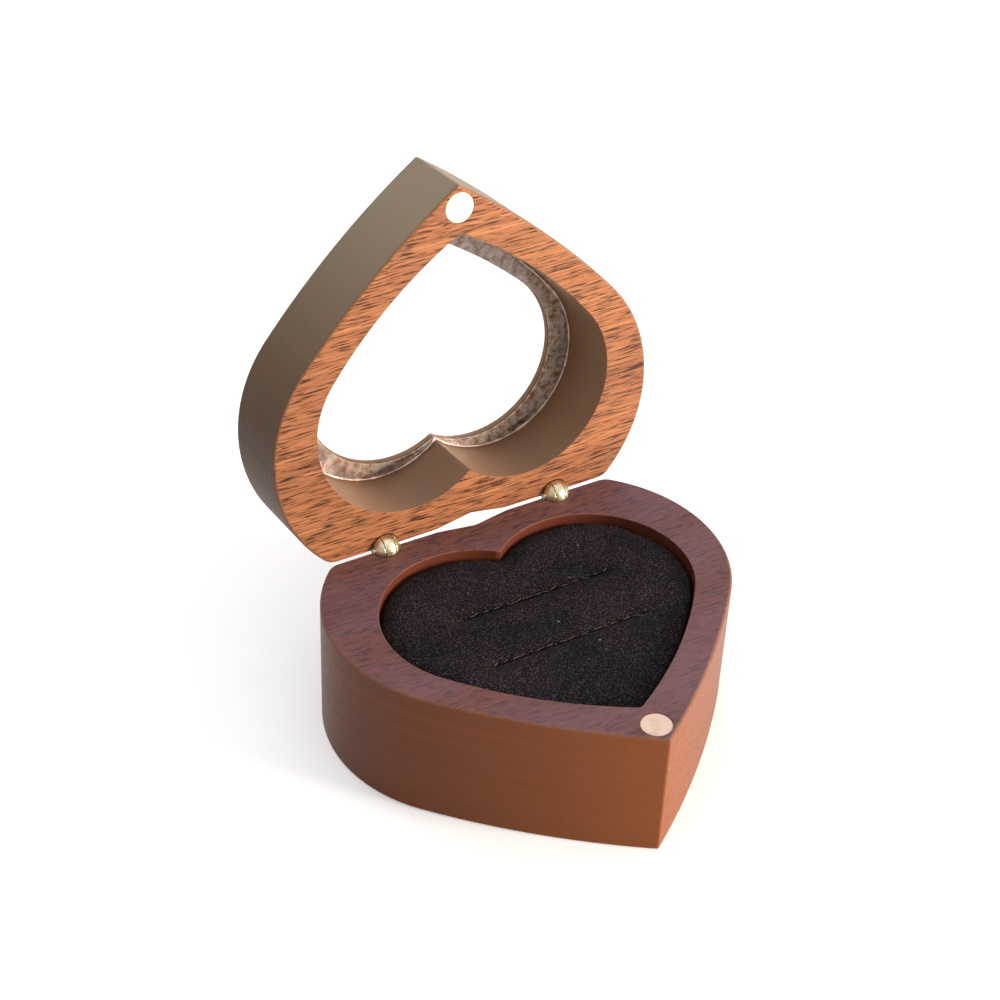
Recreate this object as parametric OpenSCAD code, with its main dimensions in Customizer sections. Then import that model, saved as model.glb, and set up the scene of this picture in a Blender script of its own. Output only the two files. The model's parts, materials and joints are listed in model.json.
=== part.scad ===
// Heart-shaped walnut ring box: a solid base with a flocked ring pad, and a windowed lid on two
// brass barrel hinges. Millimetres, +Z up, origin at the middle of the base's bottom face.
// The back of the box faces +Y and its tip faces -Y. The lid stands open, resting on its hinges.

/* [Box] */
// Width across the two lobes
box_w = 68; // [62:1:82]
// Length from the flat back to the tip
box_l = 59; // [54:1:71]
// Height of the base
base_h = 23; // [19:0.5:28]
// Thickness of the lid
lid_h = 14; // [12.5:0.5:17]
// How far the lid stands open, in degrees
open_angle = 97; // [90:1:100]
// Hairline between the base and the closed lid
face_gap = 0.15; // [0.1:0.05:0.3]

/* [Outline] */
// Half the distance between the centres of the outer lobe arcs
lobe_x = 9.4; // [8:0.1:11]
// Distance from the flat back to the centres of the outer lobe arcs
lobe_back = 18.4; // [17:0.1:20]
// Radius of the long side arcs
side_r = 142; // [110:1:180]
// Radius that rounds the tip
tip_r = 0.5; // [0.3:0.1:1]
// Radius that rounds the two back corners
corner_r = 3; // [2:0.1:4]
// Width of the shallow cleft in the flat back
notch_w = 13; // [10:0.5:16]
// Depth of the shallow cleft in the flat back
notch_d = 1.1; // [0.8:0.1:1.5]

/* [Pockets] */
// Wood left beside the pockets at the widest place
wall_side = 7.6; // [7:0.1:9]
// Wood left behind the pockets, between them and the flat back
wall_back = 5.6; // [5.5:0.1:7]
// Distance from the box's tip to the pocket's tip
wall_tip = 8; // [7.5:0.1:10]
// Half the distance between the centres of the pocket's lobe arcs
pocket_lobe_x = 10.4; // [9:0.1:11.5]
// Radius of the pocket's long side arcs
pocket_side_r = 75; // [65:1:95]
// Cutter radius that rounds the pocket's tip
pocket_tip_r = 1; // [0.6:0.1:1.5]
// Wood left under the base's pocket
floor_t = 4; // [3:0.5:6]

/* [Window] */
// Thickness of the ledge that holds the pane
ledge_t = 1.2; // [1:0.1:2]
// Width of the ledge beside the window
ledge_side = 3.9; // [3.2:0.1:4.7]
// Width of the ledge behind the window's lobes
ledge_back = 2.2; // [1.8:0.1:2.7]
// Distance from the pocket's tip to the window's tip
ledge_tip = 4.8; // [4:0.1:5.8]
// Half the distance between the centres of the window's lobe arcs
window_lobe_x = 7.7; // [7:0.1:9]
// Radius of the window's long side arcs
window_side_r = 95; // [80:1:115]
// Thickness of the clear pane
pane_t = 1; // [0.8:0.1:2]
// Thickness of the glue under the pane
glue_t = 0.25; // [0.15:0.05:0.4]
// How far the glue stays back from the window's edge
glue_back = 0.15; // [0.1:0.05:0.2]
// Gap around the edge of the pane
pane_gap = 0.15; // [0.1:0.05:0.3]

/* [Pad] */
// How far the pad lies below the rim
pad_recess = 1.2; // [1:0.1:3]
// Thickness of the flocked face sheet
face_t = 0.5; // [0.3:0.1:1]
// Thickness of the foam pad that the ring slits are cut in
pad_t = 8; // [6:0.5:10]
// Gap between the foam and the pocket's wall
pad_gap = 0.2; // [0.1:0.05:0.4]
// Length of each ring slit
slit_l = 28; // [22:0.5:30]
// Width of each ring slit
slit_w = 0.6; // [0.4:0.1:1]
// Depth of each ring slit into the foam pad
slit_d = 6; // [4:0.5:7]
// Distance from the flat back to the rear ring slit
slit_back = 20.2; // [18:0.1:23]
// Distance between the two ring slits
slit_pitch = 11.6; // [9:0.1:13]

/* [Magnets] */
// Diameter of the two closing magnets
magnet_d = 5; // [4:0.5:5]
// Thickness of each magnet
magnet_t = 2; // [1.5:0.5:3]
// Distance from the tip to the magnets' centres
magnet_inset = 3.8; // [3.8:0.1:4.6]
// How far each magnet sits below the wood's face
magnet_sink = 0.05; // [0.02:0.01:0.1]

/* [Hinges] */
// Distance of each hinge from the middle of the box
hinge_x = 16; // [14:0.1:18]
// Diameter of the hinge barrels
barrel_d = 5; // [4.5:0.1:6]
// Depth of each barrel in the wood
barrel_l = 9; // [8:0.5:10]
// Glue gap around each barrel
barrel_gap = 0.05; // [0.03:0.01:0.08]
// How far each barrel stands out behind the flat back
barrel_out = 1.6; // [1.4:0.1:2]
// Diameter of the ball-shaped knuckle
knuckle_d = 4.84; // [4.4:0.02:4.9]
// Running clearance between the moving pieces of a knuckle
knuckle_gap = 0.08; // [0.05:0.01:0.15]
// Thickness of the base barrel's tongue
tongue_t = 1.8; // [1.4:0.1:2.2]
// Length of the neck that joins each knuckle to its barrel
neck_l = 1; // [0.8:0.1:1.5]
// Length of the relief that clears the other barrel behind the knuckle
relief_l = 3.1; // [3:0.1:4]
// Diameter of the hinge pin
pin_d = 1; // [0.8:0.1:1.2]
// Running clearance around the pin in the tongue, on the radius
pin_play = 0.05; // [0.02:0.01:0.08]

/* [Hidden] */
$fn = 96;

walnut = "#5a3d2e";
walnut_warm = "#a9683a";
velvet = "#1d1719";
foam = "#3a3a3c";
nickel = "#d9cfc6";
brass = "#c7a565";
clear = [0.9, 0.93, 0.95, 0.3];
glue = "#e6dcc4";

far = 200;               // longer than anything in the box
deep = 0.01;             // overshoot of a cut through a face

// The hinge axis is the line y = 0, z = 0 of the working frame that every part is drawn in.
axis_y = box_l / 2;
axis_z = base_h + face_gap / 2;
face_z = face_gap / 2;

// An outline is [lobe x, lobe y, lobe radius, side radius, tip distance, tip radius].
outer = [lobe_x, -lobe_back, box_w / 2 - lobe_x, side_r, box_l, tip_r];
pocket_lobe_r = box_w / 2 - wall_side - pocket_lobe_x;
pocket = [
    pocket_lobe_x, -wall_back - pocket_lobe_r, pocket_lobe_r,
    pocket_side_r, box_l - wall_tip, pocket_tip_r
];

window_lobe_r = box_w / 2 - wall_side - ledge_side - window_lobe_x;
window = [
    window_lobe_x, -wall_back - ledge_back - window_lobe_r, window_lobe_r,
    window_side_r, box_l - wall_tip - ledge_tip, pocket_tip_r
];
ledge_depth = lid_h - ledge_t;

// Centre of the right-hand side arc: it touches the lobe arc from inside and runs through the tip.
function tip_reach(s) = norm([s[0], s[1] + s[4]]);
function tip_turn(s) = acos((pow(tip_reach(s), 2) + s[3] * s[3] - pow(s[3] - s[2], 2))
    / (2 * tip_reach(s) * s[3]));
function side_dir(s) = atan2(s[1] + s[4], s[0]) + tip_turn(s);
function side_c(s) = [s[3] * cos(side_dir(s)), s[3] * sin(side_dir(s)) - s[4]];

// Direction from a side arc's centre to the lobe arc's centre, where the two arcs meet.
function join_dir(s) = let (v = [s[0], s[1]] - side_c(s)) v / norm(v);

// Height of the tip circle's centre, and of its contact with the side arcs, for an inset outline.
function tip_y(s, inset) = side_c(s)[1]
    - sqrt(pow(s[3] - inset - s[5], 2) - pow(side_c(s)[0], 2));
function tip_join_y(s, inset) = side_c(s)[1]
    + (tip_y(s, inset) - side_c(s)[1]) * (s[3] - inset) / (s[3] - inset - s[5]);
function tip_join_x(s, inset) = side_c(s)[0] * (1 - (s[3] - inset) / (s[3] - inset - s[5]));

// A heart of height h whose outline is inset all round.
module heart(s, h, inset = 0) {
    out_pt = [s[0], s[1]] + join_dir(s) * (s[2] + 5);
    low_y = tip_join_y(s, inset);
    low_x = tip_join_x(s, inset) + 1;
    for (side = [-1, 1]) {
        translate([side * s[0], s[1], 0])
            cylinder(h = h, r = s[2] - inset);
    }
    intersection() {
        almond(s, h, inset);
        linear_extrude(h)
            polygon([
                [-s[0], s[1]], [s[0], s[1]], out_pt, [out_pt[0], low_y],
                [low_x, low_y], [-low_x, low_y], [-out_pt[0], low_y], [-out_pt[0], out_pt[1]]
            ]);
    }
    translate([0, tip_y(s, inset), 0])
        cylinder(h = h, r = s[5]);
}

// The almond shape between the two long side arcs.
module almond(s, h, inset) {
    intersection_for(side = [-1, 1]) {
        translate([side * side_c(s)[0], side_c(s)[1], 0])
            cylinder(h = h, r = s[3] - inset, $fn = 400);
    }
}

// Centre of the arc that rounds the right back corner.
corner_c = [
    lobe_x + sqrt(pow(outer[2] - corner_r, 2) - pow(lobe_back - corner_r, 2)),
    -corner_r
];
corner_dir = (corner_c - [lobe_x, -lobe_back]) / norm(corner_c - [lobe_x, -lobe_back]);

// A block of wood with its flat back, rounded corners and shallow cleft.
module blank(h) {
    difference() {
        heart(outer, h);
        translate([-far / 2, 0, -1])
            cube([far, far, h + 2]);
        for (side = [0, 1]) {
            mirror([side, 0, 0])
                corner_waste(h);
        }
        translate([0, 0, -1])
            linear_extrude(h + 2)
                polygon([[-notch_w / 2, 0], [0, -notch_d], [notch_w / 2, 0], [0, far]]);
    }
}

// What is cut from the right back corner.
module corner_waste(h) {
    edge_pt = [lobe_x, -lobe_back] + corner_dir * (outer[2] + 1);
    translate([0, 0, -1])
        difference() {
            linear_extrude(h + 2)
                polygon([
                    corner_c, [corner_c[0], 1], [edge_pt[0] + 5, 1],
                    [edge_pt[0] + 5, edge_pt[1]], edge_pt
                ]);
            translate([corner_c[0], corner_c[1], -1])
                cylinder(h = h + 4, r = corner_r);
        }
}

// The pocket of depth d that opens upwards at z = 0.
module pocket_cut(d) {
    translate([0, 0, -d])
        heart(pocket, d + deep);
}

// Working frame to the box's own frame.
module place() {
    translate([0, axis_y, axis_z])
        children();
}

// Closed lid to the open lid.
module opened() {
    rotate([-open_angle, 0, 0])
        children();
}

// What is drawn in the base's working frame, turned into the lid's closed position.
module flip() {
    mirror([0, 0, 1])
        children();
}

/* Hinge geometry. The pin lies on the hinge axis, which is the line where the flat backs of the
   base and the lid meet, so each barrel is half let into the back of its wood. Every moving piece
   of a knuckle stays inside the ball, and the ball turns inside the bores of both woods. */
pin_r = pin_d / 2;
barrel_r = barrel_d / 2;
knuckle_r = knuckle_d / 2;
seat_r = knuckle_r + knuckle_gap;
bore_r = barrel_r + barrel_gap;
neck_back = barrel_r / 8;           // how far the neck reaches behind the hinge axis
pin_half = sqrt(pow(knuckle_r, 2) - pow(pin_r + knuckle_gap, 2)) - knuckle_gap;

module rod(r, half) {
    rotate([0, 90, 0])
        translate([0, 0, -half])
            cylinder(h = 2 * half, r = r, $fn = 48);
}

// The brass bar that a barrel and its knuckle are cut from, with its flat behind the box.
module bar(bottom, top) {
    difference() {
        translate([0, 0, bottom])
            cylinder(h = top - bottom, r = barrel_r);
        translate([-barrel_d, barrel_out, bottom - 1])
            cube([2 * barrel_d, barrel_d, top - bottom + 2]);
    }
}

// The barrel below its knuckle, with the seat that the other barrel's knuckle turns in.
module barrel_body() {
    difference() {
        bar(-face_z - barrel_l, -neck_l);
        translate([-barrel_d, neck_back, -relief_l])
            cube([2 * barrel_d, barrel_d, relief_l + 1]);
        sphere(r = seat_r);
    }
}

// The knuckle and its neck across the bar's whole width, before they are sliced into fingers.
module knuckle() {
    sphere(r = knuckle_r);
    difference() {
        bar(-relief_l, -neck_l);
        translate([-barrel_d, neck_back, -relief_l - 1])
            cube([2 * barrel_d, barrel_d, relief_l + 2]);
    }
}

module tongue_barrel() {
    difference() {
        union() {
            barrel_body();
            intersection() {
                knuckle();
                translate([-tongue_t / 2, -barrel_d, -barrel_d])
                    cube([tongue_t, 2 * barrel_d, 2 * barrel_d]);
            }
        }
        rod(pin_r + pin_play, barrel_d);
    }
}

module cheek_barrel() {
    slot_half = tongue_t / 2 + knuckle_gap;
    difference() {
        union() {
            barrel_body();
            for (side = [0, 1]) {
                mirror([side, 0, 0])
                    intersection() {
                        knuckle();
                        translate([slot_half, -barrel_d, -barrel_d])
                            cube([barrel_d, 2 * barrel_d, 2 * barrel_d]);
                    }
            }
        }
        rod(pin_r, barrel_d);
    }
}

// What the hinges and the magnet take out of either piece of wood, cut down from z = -face_z.
module fittings_cut() {
    for (side = [-1, 1]) {
        translate([side * hinge_x, 0, -face_z - barrel_l])
            cylinder(h = barrel_l + deep, r = bore_r);
    }
    translate([0, magnet_inset - box_l, -face_z - magnet_t - magnet_sink])
        cylinder(h = magnet_t + 1, r = magnet_d / 2);
}

module magnet_shape() {
    translate([0, magnet_inset - box_l, -face_z - magnet_t - magnet_sink])
        cylinder(h = magnet_t, r = magnet_d / 2);
}

module slits(depth) {
    for (i = [0, 1]) {
        translate([-slit_l / 2, -slit_back - i * slit_pitch - slit_w / 2, -depth])
            cube([slit_l, slit_w, depth + deep]);
    }
}

// Sub-parts

module base_block() {
    color(walnut)
        place()
            difference() {
                translate([0, 0, -face_z - base_h])
                    blank(base_h);
                translate([0, 0, -face_z])
                    pocket_cut(base_h - floor_t);
                fittings_cut();
            }
}

face_bottom = face_z + pad_recess + face_t;
pad_bottom = face_bottom + pad_t;
floor_top = face_z + base_h - floor_t;

module foam_filler() {
    color(foam)
        place()
            translate([0, 0, -floor_top])
                heart(pocket, floor_top - pad_bottom, pad_gap);
}

module ring_pad() {
    color(velvet)
        place()
            difference() {
                translate([0, 0, -pad_bottom])
                    heart(pocket, pad_t, pad_gap);
                translate([0, 0, -face_bottom])
                    slits(slit_d);
            }
}

module velvet_face() {
    color(velvet)
        place()
            difference() {
                translate([0, 0, -face_bottom])
                    heart(pocket, face_t, pad_gap);
                translate([0, 0, -face_bottom + face_t])
                    slits(face_t + deep);
            }
}

module base_magnet() {
    color(nickel)
        place()
            magnet_shape();
}

module lid_frame() {
    color(walnut_warm)
        place()
            opened()
                flip()
                    difference() {
                        translate([0, 0, -face_z - lid_h])
                            blank(lid_h);
                        translate([0, 0, -face_z])
                            pocket_cut(ledge_depth);
                        translate([0, 0, -face_z - lid_h - 1])
                            heart(window, lid_h);
                        fittings_cut();
                    }
}

module window_pane() {
    color(clear)
        place()
            opened()
                flip()
                    translate([0, 0, -face_z - ledge_depth + glue_t])
                        heart(pocket, pane_t, pane_gap);
}

module window_glue() {
    color(glue)
        place()
            opened()
                flip()
                    translate([0, 0, -face_z - ledge_depth])
                        difference() {
                            heart(pocket, glue_t, pane_gap);
                            translate([0, 0, -1])
                                heart(window, glue_t + 2, -glue_back);
                        }
}

module lid_magnet() {
    color(nickel)
        place()
            opened()
                flip()
                    magnet_shape();
}

module at_hinge(side) {
    place()
        translate([side * hinge_x, 0, 0])
            color(brass)
                children();
}

module base_barrel(side) {
    at_hinge(side)
        tongue_barrel();
}

module lid_barrel(side) {
    at_hinge(side)
        opened()
            flip()
                cheek_barrel();
}

module pin(side) {
    at_hinge(side)
        rod(pin_r, pin_half);
}

base_block();
foam_filler();
ring_pad();
velvet_face();
base_magnet();
lid_frame();
window_pane();
window_glue();
lid_magnet();
base_barrel(-1);  // left_base_barrel
lid_barrel(-1);  // left_lid_barrel
pin(-1);  // left_pin
base_barrel(1);  // right_base_barrel
lid_barrel(1);  // right_lid_barrel
pin(1);  // right_pin
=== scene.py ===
"""Looks of the heart-shaped walnut ring box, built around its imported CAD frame.

Units are metres. The box stands on the floor with its flat hinged back towards +Y and its tip
towards -Y. Every hard piece is an eased copy of its CAD node, so it stays where the frame says.
"""

import json
import logging
import math
import random
from dataclasses import dataclass
from enum import Enum
from typing import Callable, Optional, Sequence

import bmesh
import bpy
from mathutils import Matrix, Vector, noise
from mathutils.geometry import delaunay_2d_cdt


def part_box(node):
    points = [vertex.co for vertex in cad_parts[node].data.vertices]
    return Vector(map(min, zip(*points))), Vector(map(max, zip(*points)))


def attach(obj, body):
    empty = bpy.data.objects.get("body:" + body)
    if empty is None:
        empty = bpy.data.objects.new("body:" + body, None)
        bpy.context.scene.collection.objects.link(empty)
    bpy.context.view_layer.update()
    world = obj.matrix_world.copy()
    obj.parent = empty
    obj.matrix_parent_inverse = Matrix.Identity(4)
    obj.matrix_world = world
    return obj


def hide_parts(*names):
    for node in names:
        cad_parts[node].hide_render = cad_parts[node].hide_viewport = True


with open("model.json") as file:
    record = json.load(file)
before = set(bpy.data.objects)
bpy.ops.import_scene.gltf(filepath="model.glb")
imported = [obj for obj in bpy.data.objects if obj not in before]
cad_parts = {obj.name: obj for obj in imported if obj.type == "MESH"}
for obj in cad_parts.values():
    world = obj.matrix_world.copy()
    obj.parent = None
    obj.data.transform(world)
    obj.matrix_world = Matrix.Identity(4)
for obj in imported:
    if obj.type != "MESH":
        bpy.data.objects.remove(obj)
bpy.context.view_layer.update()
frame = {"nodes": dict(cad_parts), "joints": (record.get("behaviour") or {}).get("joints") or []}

Material, Object = bpy.types.Material, bpy.types.Object
Node, NodeSocket, NodeTree = bpy.types.Node, bpy.types.NodeSocket, bpy.types.NodeTree
BMesh, BMEdge, BMVert = bmesh.types.BMesh, bmesh.types.BMEdge, bmesh.types.BMVert

MM = 0.001
SHARP_DEG = 32.0            # edges that turn by more than this count as sharp
UPRIGHT = 0.5               # a face whose normal rises less than this stands upright
RENDER_SPAN = 36.0          # width of the camera's sensor, in its own millimetres

log = logging.getLogger("ring_box")


# ---------------------------------------------------------------------------- small helpers

def linear(hex_code: str) -> tuple[float, float, float, float]:
    """Turn an sRGB hex colour such as "#7a4c34" into linear RGBA.

    Args:
        hex_code: The colour, with its leading hash.

    Returns:
        Red, green, blue and alpha, each from 0 to 1.
    """
    channels = [int(hex_code[i:i + 2], 16) / 255 for i in (1, 3, 5)]
    bent = [c / 12.92 if c <= 0.04045 else ((c + 0.055) / 1.055) ** 2.4 for c in channels]
    return bent[0], bent[1], bent[2], 1.0


def add(tree: NodeTree, kind: str, inputs: Optional[dict] = None,
        **settings: object) -> Node:
    """Add a node, give it its settings, and set or link its inputs.

    Args:
        tree: The node tree that gets the node.
        kind: The node's type, such as "ShaderNodeTexNoise".
        inputs: Input name or index to a value, or to the output socket that feeds it.
        **settings: Properties of the node itself.

    Returns:
        The new node.
    """
    node = tree.nodes.new(kind)
    for key, value in settings.items():
        setattr(node, key, value)
    for key, value in (inputs or {}).items():
        if isinstance(value, NodeSocket):
            tree.links.new(value, node.inputs[key])
        else:
            node.inputs[key].default_value = value
    return node


def ramp(tree: NodeTree, factor: NodeSocket,
         stops: Sequence[tuple[float, str]]) -> NodeSocket:
    """Add a colour ramp with its stops.

    Args:
        tree: The node tree that gets the ramp.
        factor: The socket that drives it.
        stops: Position and sRGB hex colour of each stop, in order.

    Returns:
        The ramp's colour output.
    """
    node = add(tree, "ShaderNodeValToRGB", {"Fac": factor})
    elements = node.color_ramp.elements
    elements[0].position, elements[0].color = stops[0][0], linear(stops[0][1])
    elements[1].position, elements[1].color = stops[-1][0], linear(stops[-1][1])
    for position, colour in stops[1:-1]:
        elements.new(position).color = linear(colour)
    return node.outputs["Color"]


def mapped(tree: NodeTree, value: NodeSocket, span: tuple[float, float],
           result: tuple[float, float]) -> NodeSocket:
    """Add a map from one span of values to another, held at both ends.

    Args:
        tree: The node tree that gets the map.
        value: The socket that drives it.
        span: The values at which the map starts and ends.
        result: What it gives at the start and at the end.

    Returns:
        The map's output.
    """
    return add(tree, "ShaderNodeMapRange", {
        "Value": value, "From Min": span[0], "From Max": span[1],
        "To Min": result[0], "To Max": result[1]}).outputs[0]


def times(tree: NodeTree, first: NodeSocket,
          second: object) -> NodeSocket:
    """Add a product of a socket and another socket or a number.

    Args:
        tree: The node tree that gets the product.
        first: The first factor.
        second: The second factor.

    Returns:
        The product's output.
    """
    return add(tree, "ShaderNodeMath", {0: first, 1: second}, operation="MULTIPLY").outputs[0]


def blend(tree: NodeTree, share: NodeSocket, under: NodeSocket,
          over: str) -> NodeSocket:
    """Lay a share of one colour over another.

    Args:
        tree: The node tree that gets the mix.
        share: How much of the upper colour shows.
        under: The lower colour.
        over: The upper colour, as sRGB hex.

    Returns:
        The mixed colour.
    """
    return add(tree, "ShaderNodeMix", {
        0: share, 6: under, 7: linear(over)}, data_type="RGBA").outputs[2]


def blank_material(name: str) -> tuple[Material, NodeTree, Node]:
    """Make a material that holds only its output node.

    Args:
        name: The material's name.

    Returns:
        The material, its node tree and its output node.
    """
    material = bpy.data.materials.new(name)
    material.use_nodes = True
    tree = material.node_tree
    tree.nodes.clear()
    return material, tree, add(tree, "ShaderNodeOutputMaterial")


def object_from(bm: BMesh, name: str, smooth_deg: float = SHARP_DEG) -> Object:
    """Turn a bmesh into a linked object with smooth shading and sharp creases.

    Args:
        bm: The finished bmesh, which is freed.
        name: The piece's name.
        smooth_deg: Edges sharper than this angle stay sharp.

    Returns:
        The new object.
    """
    mesh = bpy.data.meshes.new(name)
    bm.to_mesh(mesh)
    bm.free()
    mesh.polygons.foreach_set("use_smooth", [True] * len(mesh.polygons))
    mesh.set_sharp_from_angle(angle=math.radians(smooth_deg))
    piece = bpy.data.objects.new(name, mesh)
    bpy.context.scene.collection.objects.link(piece)
    return piece


# ---------------------------------------------------------------------------- finishes

class Finish:
    """A finish that makes its material once and then hands out the same one."""

    _made: dict = {}

    def material(self) -> Material:
        """Return the finish's material, making it the first time."""
        if self not in Finish._made:
            Finish._made[self] = self.make()
        return Finish._made[self]

    def make(self) -> Material:
        """Build the material."""
        raise NotImplementedError

    def dress(self, piece: Object) -> None:
        """Give a piece this finish on all its faces."""
        piece.data.materials.clear()
        piece.data.materials.append(self.material())


@dataclass(frozen=True)
class OiledWalnut(Finish):
    """Black walnut, sawn along the grain, sanded and oiled.

    The eye gets soft brown bands a few millimetres wide, fine fibres that all run along the
    box's width, and on the flat faces short dark open pores. The cut sides are sanded smoother
    and show only the bands. Each colour below lies over the bands with its own share: painted
    shade that darkens the cut sides, painted light that brightens the sides near the box's tip,
    a painted sheen on the flat faces, the walls' own tone on the pocket's walls, and a painted
    highlight, partly real sanding wear, on the rounded edges.
    """

    name: str
    dark: str = "#3d2418"
    middle: str = "#653a26"
    light: str = "#8a5537"
    pore: str = "#22140e"
    # edge: painted highlight, partly real sanding wear, laid over the rounded edges
    edge: str = "#8d6146"
    tint: str = "#573529"
    # side and its share: painted shade, a darker colour laid over the upright cut sides
    side: str = "#6a3b22"
    side_shade_share: float = 0.0
    # tip and its share: painted light, a paler colour laid over the sides towards the box's tip
    tip_highlight: str = "#8a4a22"
    tip_highlight_share: float = 0.0
    # veil and its share: painted sheen, a pale purple-grey reflection laid over the flat faces
    painted_sheen: str = "#8a6a6e"
    painted_sheen_share: float = 0.0
    milled: str = "#9a6a48"
    milled_share: float = 0.5
    edge_highlight_share: float = 0.3
    tip_span: tuple[float, float] = (4.0 * MM, -26.0 * MM)
    face_span: tuple[float, float] = (0.5, 0.95)
    side_span: tuple[float, float] = (0.3, 0.8)
    specular: float = 0.12
    patch_strength: float = 0.6
    offset: tuple[float, float, float] = (0.0, 0.0, 0.0)
    pith: tuple[float, float] = (0.0, -160.0)
    ring_mm: float = 2.6
    fibre_mm: float = 0.42
    pore_mm: float = 0.2
    pore_length_mm: float = 2.4
    pore_strength: float = 0.85
    band_strength: float = 0.45
    sway_mm: float = 4.0
    roughness: float = 0.42

    def grain_place(self, tree: NodeTree) -> tuple[NodeSocket, ...]:
        """Add the wood's own coordinates in millimetres: straight ones, and gently swaying ones.

        Args:
            tree: The material's node tree.

        Returns:
            The straight coordinates and the swaying ones.
        """
        place = add(tree, "ShaderNodeTexCoord").outputs["Object"]
        straight = add(tree, "ShaderNodeMapping", {
            "Vector": place, "Scale": (1 / MM, 1 / MM, 1 / MM), "Location": self.offset,
        }).outputs["Vector"]
        slow = add(tree, "ShaderNodeMapping", {
            "Vector": straight, "Scale": (0.012, 0.045, 0.045)}).outputs["Vector"]
        sway = add(tree, "ShaderNodeTexNoise", {
            "Vector": slow, "Scale": 1.0, "Detail": 2.0, "Roughness": 0.5})
        swing = add(tree, "ShaderNodeVectorMath", {
            0: sway.outputs["Color"], 1: (self.sway_mm,) * 3}, operation="MULTIPLY")
        swaying = add(tree, "ShaderNodeVectorMath", {
            0: straight, 1: swing.outputs[0]}, operation="ADD")
        return straight, swaying.outputs[0]

    def rings(self, tree: NodeTree,
              swaying: NodeSocket) -> NodeSocket:
        """Add the growth rings round a pith that runs along the box's width.

        Args:
            tree: The material's node tree.
            swaying: The swaying wood coordinates.

        Returns:
            The rings' strength, from 0 to 1.
        """
        from_pith = add(tree, "ShaderNodeVectorMath", {
            0: swaying, 1: (0.0, self.pith[0], self.pith[1])}, operation="SUBTRACT")
        across = add(tree, "ShaderNodeVectorMath", {
            0: from_pith.outputs[0], 1: (0.0, 1.0, 1.0)}, operation="MULTIPLY")
        radius = add(tree, "ShaderNodeVectorMath", {0: across.outputs[0]}, operation="LENGTH")
        turns = add(tree, "ShaderNodeMath", {
            0: radius.outputs["Value"], 1: 1 / self.ring_mm}, operation="MULTIPLY")
        bands = add(tree, "ShaderNodeTexNoise", {
            "W": turns.outputs[0], "Scale": 1.0, "Detail": 3.0, "Roughness": 0.55},
            noise_dimensions="1D").outputs["Fac"]
        return add(tree, "ShaderNodeMix", {
            0: self.band_strength, 2: 0.5, 3: bands}, data_type="FLOAT").outputs[0]

    def marked(self, tree: NodeTree, mark: str,
               strength: float) -> NodeSocket:
        """Add the share of a colour that shows where the mesh carries a mark.

        Args:
            tree: The material's node tree.
            mark: The name of the mesh's attribute.
            strength: The share where the mark is full.

        Returns:
            The share.
        """
        carried = add(tree, "ShaderNodeAttribute", attribute_name=mark)
        return times(tree, carried.outputs["Fac"], strength)

    def make(self) -> Material:
        """Build the walnut's material.

        Returns:
            The material.
        """
        material, tree, out = blank_material(self.name)
        straight, swaying = self.grain_place(tree)
        rings = self.rings(tree, swaying)
        fibre_place = add(tree, "ShaderNodeMapping", {
            "Vector": swaying,
            "Scale": (0.03, 1 / self.fibre_mm, 1 / self.fibre_mm)}).outputs["Vector"]
        fibres = add(tree, "ShaderNodeTexNoise", {
            "Vector": fibre_place, "Scale": 1.0, "Detail": 4.0, "Roughness": 0.6}).outputs["Fac"]
        pore_place = add(tree, "ShaderNodeMapping", {
            "Vector": swaying,
            "Scale": (1 / self.pore_length_mm, 0.5 / self.pore_mm, 0.5 / self.pore_mm),
        }).outputs["Vector"]
        pore_field = add(tree, "ShaderNodeTexNoise", {
            "Vector": pore_place, "Scale": 1.0, "Detail": 2.0, "Roughness": 0.55})
        open_pores = mapped(tree, pore_field.outputs["Fac"], (0.5, 0.63), (0.0, 1.0))
        patch_place = add(tree, "ShaderNodeMapping", {
            "Vector": straight, "Scale": (0.03, 0.09, 0.09), "Location": (3.1, 7.7, 1.3),
        }).outputs["Vector"]
        patches = add(tree, "ShaderNodeTexNoise", {
            "Vector": patch_place, "Scale": 1.0, "Detail": 3.0}).outputs["Fac"]

        place = add(tree, "ShaderNodeTexCoord")
        normal = add(tree, "ShaderNodeSeparateXYZ", {"Vector": place.outputs["Normal"]})
        along = add(tree, "ShaderNodeSeparateXYZ", {"Vector": place.outputs["Object"]})
        flat = add(tree, "ShaderNodeMath", {
            0: normal.outputs["Z"]}, operation="ABSOLUTE").outputs[0]
        on_face = mapped(tree, flat, self.face_span, (0.06, 1.0))
        off_face = mapped(tree, flat, self.side_span, (1.0, 0.0))
        # painted light: its share grows towards the box's tip
        tip_highlight_mask = mapped(tree, along.outputs["Y"], self.tip_span, (0.0, self.tip_highlight_share))
        # painted sheen: its share follows the patches
        painted_sheen = mapped(tree, patches, (0.35, 0.65), (self.painted_sheen_share * 0.5, self.painted_sheen_share))
        pores = times(tree, open_pores, on_face)

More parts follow.
